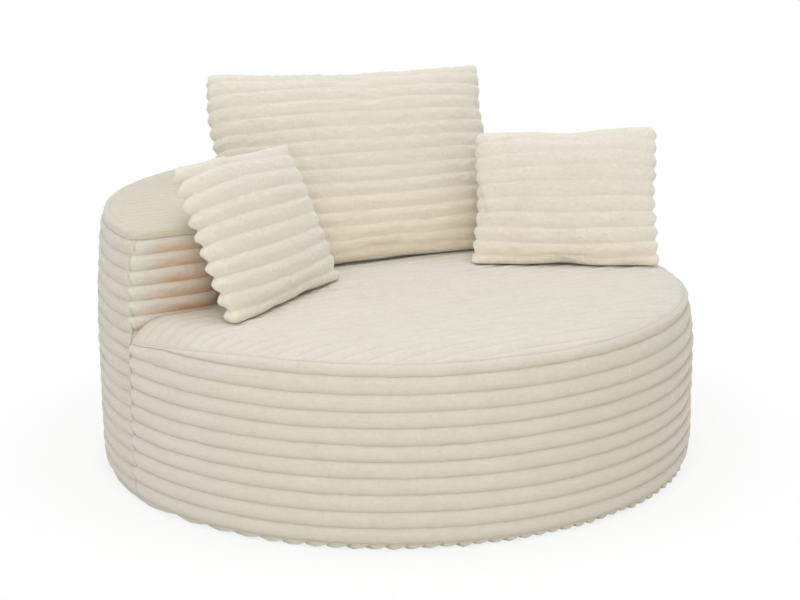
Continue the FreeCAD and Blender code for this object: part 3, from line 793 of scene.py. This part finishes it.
def plush(nodes, where, pale, deep, painted_shade_colour, painted_bounce_colour, softness, softness_scale):
    """Short soft pile: brushed patches, fine fibres, painted shade that makes it darker and warmer down in
    the grooves, and painted warm bounce light.
    """
    clumps = nodes.texture(where, 95, 3, 0.6)
    fibres = nodes.texture(where, 620, 2, 0.7)
    colour = nodes.ramp(nodes.texture(where, 16, 4, 0.55, 0.4), 0.30, deep, 0.70, pale)
    colour = nodes.mixed(0.5, colour, nodes.ramp(clumps, 0.30, deep, 0.72, pale))
    # One attribute paints shade with the third colour; the other paints warm bounce light and shade with the
    # fourth.
    for label, tint in (("painted_shade", painted_shade_colour), ("painted_bounce_light", painted_bounce_colour)):
        amount = nodes.add("Attribute", {}, attribute_name=label).outputs["Fac"]
        colour = nodes.mixed(nodes.maths("MULTIPLY", amount, 0.55), colour, tint)
    speck = nodes.ramp(fibres, 0.25, (0.90, 0.895, 0.88, 1), 0.75, grey(1))
    soft = nodes.bump(clumps, 0.0016, 0.7)
    tufted = nodes.bump(nodes.texture(where, 215, 3, 0.65, 0.6), 0.0026, 0.75, Normal=soft)
    return nodes.finished(
        nodes.mixed(1.0, colour, speck, "MULTIPLY"), nodes.bump(fibres, 0.0008, 0.6, Normal=tufted), 0.95,
        Specular_IOR_Level=0.12, Sheen_Weight=0.45, Sheen_Roughness=0.45, Sheen_Tint=(1.0, 0.97, 0.92, 1),
        Subsurface_Weight=softness, Subsurface_Radius=(1.0, 0.96, 0.92), Subsurface_Scale=softness_scale)


def chair_plush(nodes, where):
    # The third colour is painted shade; the fourth, an orange, is painted warm bounce light that darkens the
    # chair's crevices.
    return plush(nodes, where, srgb(231, 226, 215), srgb(223, 217, 204), srgb(208, 202, 178),
                 srgb(222, 180, 146), 0.75, 0.007)


def cushion_plush(nodes, where):
    # The third colour is painted shade; the fourth, paler, is painted warm bounce light that lifts the
    # cushions near the seat.
    return plush(nodes, where, srgb(237, 233, 223), srgb(230, 225, 213), srgb(216, 208, 184),
                 srgb(254, 240, 219), 1.0, 0.014)


def foam(nodes, where):
    """Cut polyurethane foam with small open cells."""
    cells = nodes.add("TexVoronoi", {"Scale": 700, "Vector": where}).outputs["Distance"]
    tone = nodes.ramp(nodes.texture(where, 30, 3), 0.3, srgb(228, 218, 186), 0.7, srgb(244, 238, 216))
    colour = nodes.mixed(0.35, nodes.ramp(cells, 0.1, srgb(206, 196, 164), 0.6, srgb(240, 233, 208)), tone)
    return nodes.finished(colour, nodes.bump(cells, 0.0008), 0.95)


def fibre_filling(nodes, where):
    """White polyester fibre, matted and a little woolly."""
    wisps = nodes.texture(where, 140, 5, 0.65, 1.2)
    colour = nodes.ramp(wisps, 0.3, srgb(222, 221, 216), 0.7, srgb(246, 246, 243))
    tufts = nodes.bump(nodes.texture(where, 26, 3), 0.004, 0.5)
    return nodes.finished(colour, nodes.bump(wisps, 0.0015, 0.7, Normal=tufts), 0.9)


def zip_tape(nodes, where):
    """Woven zip tape, a herringbone of fine threads."""
    threads = {"Scale": 320, "Distortion": 0.6, "Vector": where}
    waves = [nodes.add("TexWave", threads, bands_direction=axis).outputs["Fac"] for axis in "XZ"]
    weave = nodes.maths("MULTIPLY", *waves)
    colour = nodes.ramp(weave, 0.0, srgb(196, 187, 165), 0.6, srgb(226, 218, 199))
    return nodes.finished(colour, nodes.bump(weave, 0.0003), 0.85)


def zip_coil(nodes, where):
    """Moulded nylon teeth, slightly translucent cream."""
    grain = nodes.texture(where, 900, 2)
    colour = nodes.ramp(nodes.texture(where, 60, 2), 0.3, srgb(219, 211, 191), 0.7, srgb(231, 224, 206))
    rough = nodes.ramp(grain, 0.2, grey(0.32), 0.8, grey(0.44))
    return nodes.finished(colour, nodes.bump(grain, 0.0001), rough)


def zip_metal(nodes, where):
    """Brushed nickel-plated slider and stops with fine scratches."""
    stretched = nodes.add("Mapping", {"Scale": (60, 60, 1600), "Vector": where}).outputs["Vector"]
    brushed = nodes.texture(stretched, 1.0, 4, 0.6)
    colour = nodes.ramp(brushed, 0.3, (0.52, 0.50, 0.46, 1), 0.7, (0.68, 0.66, 0.61, 1))
    rough = nodes.ramp(brushed, 0.2, grey(0.24), 0.8, grey(0.42))
    return nodes.finished(colour, nodes.bump(brushed, 0.0001), rough, Metallic=1.0)


MATERIALS = {}
for make in (chair_plush, cushion_plush, foam, fibre_filling, zip_tape, zip_coil, zip_metal):
    slot_nodes = Nodes(bpy.data.materials.new(make.__name__))
    MATERIALS[make.__name__] = make(slot_nodes, slot_nodes.where())


# Cushions

def spline_weights(at, count, wrap):
    """Weights and neighbours that carry a smooth curve through a row of values, at fractional places."""
    low = np.floor(at).astype(int)
    if not wrap:
        low = np.clip(low, 0, count - 2)
    t = at - low
    w = np.stack([-t ** 3 + 2 * t ** 2 - t, 3 * t ** 3 - 5 * t ** 2 + 2,
                  -3 * t ** 3 + 4 * t ** 2 + t, t ** 3 - t ** 2], -1) / 2
    return w, low[:, None] + np.arange(-1, 3)


def interpolate(grid, rows, columns):
    """Smooth values between a coarse tube's points, at fractional rows and wrapping columns."""
    ended = np.concatenate([2 * grid[:1] - grid[1:2], grid, 2 * grid[-1:] - grid[-2:-1]])
    w, near = spline_weights(rows, grid.shape[0], False)
    mid = np.einsum("ik,ikjc->ijc", w, ended[near + 1])
    w, near = spline_weights(columns, grid.shape[1], True)
    return np.einsum("jk,ijkc->ijc", w, mid[:, near % grid.shape[1]])


def loop_places(columns):
    """Round a cushion from its left seam over the front: turn, share across, and -1 in front or 1 behind."""
    turn = np.arange(columns)[None, :] / columns
    return turn, -np.cos(turn * 2 * pi), np.where(turn < 0.5, -1.0, 1.0)


@dataclass
class Cushion:
    """A cushion in its own frame: X across, Z up from its lower seam, -Y its front; angles in degrees."""

    name: str
    width: float
    height: float
    thickness: float
    place: tuple
    yaw: float
    lean: float
    ribs: int
    seed: int
    shape: object       # how far its points move across and up from an even form
    relief: float       # rib height
    fading: float       # how much shallower the ribs are higher up
    toe: float          # how much the ribs swell at the side seams
    notch: float        # how much deeper the grooves are there
    over: float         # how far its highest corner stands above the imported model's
    # The next two paint light into the cover's colour: warm bounce light near the seat, and shade over the
    # whole cover.
    painted_foot_light: float    # warm light near the seat
    shaded: float

    def base(self, u, v, side):
        """The smooth form under the ribs: u across from -1 to 1, v up from 0 to 1, side -1 in front."""
        up = 2 * v - 1
        top = self.height - self.height * 0.020 * (1 - u ** 2)
        to_end = np.minimum(v * top, (1 - v) * top)
        corner = CORNER_RADIUS * (1 - arc(to_end, CORNER_RADIUS))
        half_width = self.width / 2 - RIB * 0.7 - self.width * 0.012 * (1 - up ** 2) - corner
        crown = (1 - abs(u) ** 2.6) ** 0.66 * (1 - abs(up) ** 2.6) ** 0.66
        blunt = SIDE_EDGE * arc((1 - abs(u)) * half_width, SIDE_EDGE) * arc(to_end, SIDE_EDGE)
        half = (self.thickness / 2 - RIB - SIDE_EDGE) * crown + blunt
        return np.stack([u * half_width, side * half, top * v], -1)

    def shaped(self, points, u, v):
        dx, dz = self.shape(u, v)
        points[..., 0] += dx
        points[..., 2] += dz
        return points

    def stand(self, local):
        """From the cushion's own frame to the chair's, before it is set down."""
        lean, yaw = math.radians(self.lean), math.radians(self.yaw)
        x = local[..., 0]
        y = local[..., 1] * math.cos(lean) + local[..., 2] * math.sin(lean)
        z = -local[..., 1] * math.sin(lean) + local[..., 2] * math.cos(lean)
        c, s = math.cos(yaw), math.sin(yaw)
        return np.stack([x * c - y * s + self.place[0], x * s + y * c + self.place[1], z], -1)


def blurred(line, reach):
    """The slow part of a line of values, its ends kept."""
    k = np.arange(len(line))
    weight = bell((k[:, None] - k[None, :]) / reach)
    bridge = line[0] + (line[-1] - line[0]) * (k / (len(line) - 1))[:, None]
    return bridge + (weight / weight.sum(1, keepdims=True)) @ (line - bridge)


def wave_shares(count):
    """Shares from 0 to 1, crowded towards both ends."""
    return (1 - np.cos(np.linspace(0, pi, count))) / 2


def keep_outline(moved):
    """Takes the slow pull-in of a face's four edges out of the way it moved and leaves its puckers."""
    v = wave_shares(moved.shape[0])[:, None, None]
    u = wave_shares(moved.shape[1])[None, :, None]
    low, high = blurred(moved[0], 5)[None], blurred(moved[-1], 5)[None]
    left, right = blurred(moved[:, 0], 5)[:, None], blurred(moved[:, -1], 5)[:, None]
    patch = (1 - v) * low + v * high + (1 - u) * left + u * right
    ends = [(1 - u) * line[:, :1] + u * line[:, -1:] for line in (low, high)]
    corners = (1 - v) * ends[0] + v * ends[1]
    kept = moved - (patch - corners)
    kept[..., 1] = moved[..., 1]
    for fold_reach, reach in ((FOLD_ROWS, 9), (FOLD_COLUMNS, 4)):
        near = bell(np.arange(len(kept)) / fold_reach)[:, None, None]
        near = np.maximum(near, near[::-1])
        calm = np.stack([blurred(line, reach) for line in kept])
        kept = (kept + near * (calm - kept)).transpose(1, 0, 2)
    return kept


def filled_seams(grid):
    """Brings the side and top seams out level with the puffed bands beside them."""
    columns = grid.shape[1]
    reach = 9
    away = np.arange(-reach, reach + 1)
    weight = bell(away / SEAM_SPREAD)
    for column, sign in ((0, -1), (columns // 2, 1)):
        band = (column + away) % columns
        across = grid[:, band, 0] * sign
        grid[:, band, 0] = sign * (across + (across.max(axis=1, keepdims=True) - across) * weight)
    top = grid[-reach - 1:, :, 2]
    level = top.max(axis=0, keepdims=True)
    level = (level + level[:, -np.arange(columns) % columns]) / 2
    grid[-reach - 1:, :, 2] = top + (level - top) * weight[:reach + 1, None]
    return grid


def puffed(grid, half_thickness):
    """The tube of points after air pressure has filled it as cloth."""
    rows, columns = grid.shape[:2]
    half = columns // 2
    index = np.arange(rows * columns).reshape(rows, columns)
    for row in (0, rows - 1):
        index[row, half + 1:] = index[row, 1:half][::-1]
    quads = np.stack([index[:-1], np.roll(index[:-1], -1, 1), np.roll(index[1:], -1, 1), index[1:]], -1)
    used, compact = np.unique(quads.reshape(-1, 4), return_inverse=True)
    start = grid.reshape(-1, 3)[used]
    mesh = bpy.data.meshes.new("puffed")
    mesh.from_pydata(start.tolist(), [], compact.reshape(-1, 4).tolist())
    item = linked("puffed", mesh)
    cloth = item.modifiers.new("cloth", "CLOTH")
    for label, value in AIR.items():
        setattr(cloth.settings, label, value)
    cloth.settings.effector_weights.gravity = 0
    cloth.point_cache.frame_start = 1
    cloth.point_cache.frame_end = PUFF_STEPS
    for step in range(1, PUFF_STEPS + 1):
        bpy.context.scene.frame_set(step)
    ended = np.zeros(len(start) * 3)
    item.evaluated_get(bpy.context.evaluated_depsgraph_get()).data.vertices.foreach_get("co", ended)
    bpy.data.objects.remove(item)
    bpy.data.meshes.remove(mesh)
    bpy.context.scene.frame_set(1)
    moved = np.zeros((rows * columns, 3))
    moved[used] = ended.reshape(-1, 3) - start
    moved = moved[index.ravel()].reshape(grid.shape)
    for k in (0, half):
        face = (np.arange(half + 1) + k) % columns
        moved[:, face] = keep_outline(moved[:, face])
    size = np.linalg.norm(moved, axis=-1, keepdims=True)
    result = grid + moved * PUFF_CAP * np.tanh(size / PUFF_CAP) / np.maximum(size, 1e-9)
    result[..., 1] *= half_thickness / abs(result[..., 1]).max()
    return filled_seams(result)


def cushion_form(cushion):
    """The cushion's smooth form as a coarse tube of points, puffed up by a simulation with air."""
    _, u, side = loop_places(COARSE_COLUMNS)
    grid = cushion.base(u, wave_shares(COARSE_ROWS)[:, None], side)
    grid[..., 1] *= 1 + 0.05 * noise(grid, (0.14, 0.3, 0.11), cushion.seed + 9)
    return puffed(grid, cushion.thickness / 2 - RIB)


def set_down(placed, rise, foot):
    """Raises standing points and presses them flat on the seat."""
    low = foot + 0.0003
    soft = 0.003
    under = placed[..., 2] + rise - low
    placed[..., 2] = low + np.where(under > soft, under, soft * np.exp(np.minimum(under / soft - 1, 0)))
    return placed


def cushion_cover(cushion, grid):
    """The ribbed cover, with a slot in its lower seam that shows the zip; returns how far it was raised."""
    box_low, box_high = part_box(cushion.name + "_front_panel")
    ribs, seed = cushion.ribs, cushion.seed
    columns, steps = (500, 11) if ribs > 12 else (440, 14)
    turn, u, side = loop_places(columns)
    phase = rib_rows(0, ribs, steps)[:, None]
    v = phase / ribs
    rows = np.arccos(np.clip(1 - 2 * v[:, 0], -1, 1)) / pi * (COARSE_ROWS - 1)
    base = cushion.shaped(interpolate(grid, rows, turn[0] * COARSE_COLUMNS), u, v)
    wrapped = np.concatenate([base[:, -1:], base, base[:, :1]], 1)
    normal = grid_normals(wrapped)[:, 1:-1]
    around = np.cumsum(np.linalg.norm(np.diff(wrapped, axis=1)[:, :-1], axis=2), axis=1)
    to_right = abs(around - around[:, columns // 2, None])
    to_seam = np.minimum(around, np.minimum(to_right, around[:, -1:] - around))
    to_end = np.minimum(phase, ribs - phase)
    index, _ = rib_index(phase, ribs)
    along = base[..., 0] + side * 3.0
    wander = 0.0016 * plane_noise(along, np.round(phase) * 0.8, (0.13, 1), seed + 2)
    base[..., 2] += np.where((phase > 0.5) & (phase < ribs - 0.5), wander, 0)
    ridge = rib(phase, 1.1, 0.85)
    relief = cushion.relief * np.where(side < 0, 1 - cushion.fading * smooth(v * 2.2 - 0.4), 1.45)
    lift = relief * swell(along, index, seed, (0.13, 0.09, 1), (0.09, 0.028, 1)) * ridge
    lift = lift + cushion.toe * bell(to_seam / 0.017) * rib(phase, 0.62, 0.55) - 0.0002
    lift = lift - cushion.notch * (1 - ridge) * np.exp(-to_seam / 0.011) * smooth(to_end)
    lift = lift - 0.0005 * bell(to_seam / 0.0020)
    rough = pile(base + side[..., None], seed + 4, 1.3) + 1.3 * streaks(along, base[..., 2], seed + 6)
    lift = lift + rough * smooth(ridge * 1.5)
    topping = 0.0032 * smooth(1 - (ribs - phase) / 0.35)
    normal[-1] = UP
    outer = base + normal * np.maximum(lift * smooth(to_end / 0.25), topping)[..., None]

    open_half = cushion.width * ZIP_SHARE / 2 + 0.008
    opening = smooth((open_half + 0.012 - abs(outer[0, :, 0])) / 0.012)
    near_seam = bell(v * cushion.height / 0.006)
    spread = np.maximum(POCKET_HALF * opening * near_seam - abs(outer[..., 1]), 0)
    outer[..., 1] += side * np.where(near_seam > 0.02, spread, 0)
    lips = []
    for half_width, height in POCKET[:0:-1]:
        lip = [outer[0, :, 0], side[0] * half_width * opening, outer[0, :, 2] + height * opening]
        lips.append(np.stack(lip, -1))

    placed = cushion.stand(np.concatenate([np.stack(lips), outer]))
    rise = box_high.z + cushion.over - placed[..., 2].max()
    placed = set_down(placed, rise, box_low.z)
    # Painted shade: full in the zip slot, in the grooves and more than twice as strong behind, over a painted
    # shade on the whole cover; painted warm bounce light near the seat.
    painted_shade = np.concatenate([np.ones((len(lips), columns)), groove_shade(phase) * np.where(side < 0, 1, 2.2)])
    above = placed[..., 2] - box_low.z
    painted_bounce_light = cushion.painted_foot_light * np.exp(-above / 0.10) + 0.8 * np.exp(-above / 0.008)
    shades = {"painted_shade": 0.35 * painted_shade + cushion.shaded, "painted_bounce_light": painted_bounce_light}
    quads = grid_quads(len(placed), columns, 0, True)
    cover = mesh_piece(cushion.name + "_cover", placed, quads, shades, weld=0.00006)
    panels = [cushion.name + "_front_panel", cushion.name + "_back_panel"]
    dress(cover, cushion.name, "cushion_plush", *panels, fill=0.9)
    return rise, box_low.z


def cushion_stuffing(cushion, grid, rise, foot):
    """The filling, which follows the cover from inside."""
    _, u, side = loop_places(COARSE_COLUMNS)
    rows = np.linspace(2, COARSE_ROWS - 2, STUFFING_ROWS)
    v = (1 - np.cos(rows / (COARSE_ROWS - 1) * pi))[:, None] / 2
    fine = cushion.shaped(interpolate(grid, rows, np.arange(0, COARSE_COLUMNS, 1.0)), u, v)
    half_thickness = abs(fine[..., 1])
    fine[..., 0] = fine[..., 0] * (1 - 2 * STUFFING_INSET / cushion.width)
    fine[..., 1] = side * np.maximum(half_thickness - STUFFING_INSET, 0.0004)
    fine[..., 2] = np.clip(fine[..., 2], 0.0290, cushion.height * 0.972 - STUFFING_INSET)
    fine[..., 1] += 0.0008 * noise(fine, 0.02, cushion.seed + 12) * (half_thickness > 0.012)
    filled = set_down(cushion.stand(fine), rise, foot + 0.006)
    ring = list(range(COARSE_COLUMNS))
    ends = [ring, [(STUFFING_ROWS - 1) * COARSE_COLUMNS + place for place in ring]]
    quads = grid_quads(STUFFING_ROWS, COARSE_COLUMNS, 0, True)
    filling = mesh_piece(cushion.name + "_stuffing", filled, quads, {}, ends, weld=0.00001)
    dress(filling, cushion.name, "fibre_filling", cushion.name + "_filling", fill=0.9)


def back_shape(u, v):
    """The large cushion leans out to the left and has filled, ear-like corners."""
    left = smooth(-u * 1.4 - 0.25)
    dx = left * (0.008 * v ** 6 - 0.023 * np.sin(np.clip(v, 0, 1) * pi) ** 0.8) + (1 + u) * 0.003 * v ** 6
    wave = 0.0025 * line_noise(u, 0.22, 301)
    return dx, wave * (smooth(1 - v * 4) + 0.6 * smooth(v * 4 - 3)) + v * (0.0055 - 0.0115 * u)


def seam_waves(u, v, centre, reach, height, seed):
    """A small cushion's wavy seams; the lower one is lifted at one place."""
    lower = 0.0035 * line_noise(u, 0.35, seed) + height * bell((u - centre) / reach)
    return lower * smooth(1 - v * 4) + 0.003 * line_noise(u, 0.4, seed + 1) * smooth(v * 4 - 3)


def left_shape(u, v):
    """The left cushion bows out at both sides and has an ear at its upper left."""
    ear = smooth((0.3 - u) / 1.3) * v
    bulge = np.sin(np.clip(v, 0, 1) * pi)
    dx = 0.006 * ear + (1 - u) / 2 * (0.008 * v - 0.013 * bulge) + (1 + u) / 2 * 0.011 * bulge
    return dx, seam_waves(u, v, 0.25, 0.35, 0.005, 311) + v * (0.010 * (1 - u) + 0.006 * (1 - u ** 2))


def right_shape(u, v):
    """The right cushion is narrower on its right, which rises."""
    dx = -0.006 - 0.011 * smooth(u * 1.2) * (0.35 + 0.65 * v)
    return dx, seam_waves(u, v, -0.1, 0.4, 0.006, 321) + v * (-0.0055 + 0.0080 * u + 0.0045 * (1 - u ** 2))


SMALL = {"width": 0.410, "height": 0.308, "thickness": 0.106, "ribs": 10}
# Each cushion's foot and shade values paint warm bounce light near the seat and shade over its cover.
CUSHIONS = (
    Cushion("back_cushion", width=0.650, height=0.437, thickness=0.165, place=(0.036, 0.136), yaw=-4.5,
            lean=25, ribs=15, seed=101, shape=back_shape,
            relief=0.0029, fading=0.25, toe=0.0026, notch=0.0012, over=0.013, painted_foot_light=1.8,
            shaded=0.36),
    Cushion("left_cushion", place=(-0.302, -0.0835), yaw=33, lean=24, seed=131, shape=left_shape,
            relief=0.0037, fading=0.10, toe=0.0060, notch=0.0028, over=0.0182, painted_foot_light=0.5,
            shaded=0.55, **SMALL),
    Cushion("right_cushion", place=(0.366, -0.120), yaw=-35, lean=22, seed=161, shape=right_shape,
            relief=0.0032, fading=0.60, toe=0.0024, notch=0.0010, over=0.0023, painted_foot_light=0.7,
            shaded=0.0, **SMALL),
)


# Stage

def aimed(name, data, position, target, roll=0.0):
    """A camera or lamp that faces a target, rolled about its own axis."""
    forward = (target - position).normalized()
    right = forward.cross(Vector((0, 0, 1))).normalized()
    up = right.cross(forward)
    turned_right = right * math.cos(roll) + up * math.sin(roll)
    turned_up = up * math.cos(roll) - right * math.sin(roll)
    item = linked(name, data)
    turn = Matrix((turned_right, turned_up, -forward)).transposed().to_4x4()
    item.matrix_world = Matrix.Translation(position) @ turn
    return item


def camera():
    target = Vector((0.008, -0.004, 0.332))
    azimuth, elevation = math.radians(-29.5), math.radians(14.27)
    distance = 4.260
    level = math.cos(elevation)
    away = Vector((math.sin(azimuth) * level, -math.cos(azimuth) * level, math.sin(elevation)))
    data = bpy.data.cameras.new("camera")
    data.lens = 89.1
    data.sensor_width = 36
    bpy.context.scene.camera = aimed("camera", data, target + away * distance, target, math.radians(-0.53))


def lamp(name, place, target_z, size, power):
    data = bpy.data.lights.new(name, "AREA")
    data.shape = "RECTANGLE"
    data.size, data.size_y = size
    data.energy = power
    aimed(name, data, Vector(place), Vector((0, 0, target_z)))


def backdrop():
    """A white world that lights the chair less than it shows."""
    nodes = Nodes(bpy.data.worlds.new("studio"))
    ambient, shown = [nodes.add("Background", {"Color": grey(1), "Strength": power}) for power in (0.65, 1.0)]
    mix = nodes.add("MixShader", {0: nodes.seen(), 1: ambient.outputs[0], 2: shown.outputs[0]})
    bpy.context.scene.world = nodes.surface("World", mix)


def floor():
    """A white floor that takes the chair's shadow and fades out into the backdrop."""
    data = bpy.data.meshes.new("floor")
    reach = 14
    corners = [(-reach, -reach, 0), (reach, -reach, 0), (reach, reach, 0), (-reach, reach, 0)]
    data.from_pydata(corners, [], [(0, 1, 2, 3)])
    nodes = Nodes(bpy.data.materials.new("floor"))
    where = nodes.where()
    colour = nodes.ramp(nodes.texture(where, 3, 2), 0.0, grey(0.93), 1.0, grey(0.95))
    lit = nodes.add("BsdfPrincipled", {"Base Color": colour, "Roughness": 0.9, "Specular IOR Level": 0.0})
    white = nodes.add("Emission", {"Color": grey(1)})
    out = nodes.add("VectorMath", {0: where}, operation="LENGTH").outputs["Value"]
    away = nodes.maths("MULTIPLY", nodes.maths("SUBTRACT", out, 0.62), 1.6)
    span = {"To Min": 0.80, "To Max": 1.0, "Value": away}
    shares = nodes.add("MapRange", span, interpolation_type="SMOOTHSTEP")
    shown = nodes.maths("MULTIPLY", nodes.seen(), shares.outputs["Result"])
    mix = nodes.add("MixShader", {0: shown, 1: lit.outputs[0], 2: white.outputs[0]})
    data.materials.append(nodes.surface("Material", mix))
    linked("floor", data)


camera()
backdrop()
lamp("key", (-1.7, -2.4, 3.3), 0.3, (2.6, 2.6), 44)
lamp("front_fill", (-2.2, -3.8, 1.3), 0.35, (2.8, 1.8), 17)
lamp("top", (0.3, 0.2, 3.6), 0.3, (3.0, 3.0), 27)
floor()
bpy.context.scene.view_settings.view_transform = "Standard"

front_start, front_end = pi + WALL_TURN + 0.0005, 2 * pi - WALL_TURN - 0.0005
wall("chair_front_wall", "front_wall_panel", FRONT_RIBS, front_start, front_end, 820, 11)
wall("chair_rear_wall", "rear_wall_panel", REAR_RIBS, -WALL_TURN, pi + WALL_TURN, 560, 21)
seat_top()
seat_wadding()
base_cover()
backrest_inner()
backrest_top()
for item in CUSHIONS:
    form = cushion_form(item)
    cushion_stuffing(item, form, *cushion_cover(item, form))

for name, node in frame["nodes"].items():
    slot_name = next(part["material_slot"] for part in frame["record"]["subparts"] if part["node"] == name)
    node.data.materials.clear()
    node.data.materials.append(MATERIALS[slot_name])

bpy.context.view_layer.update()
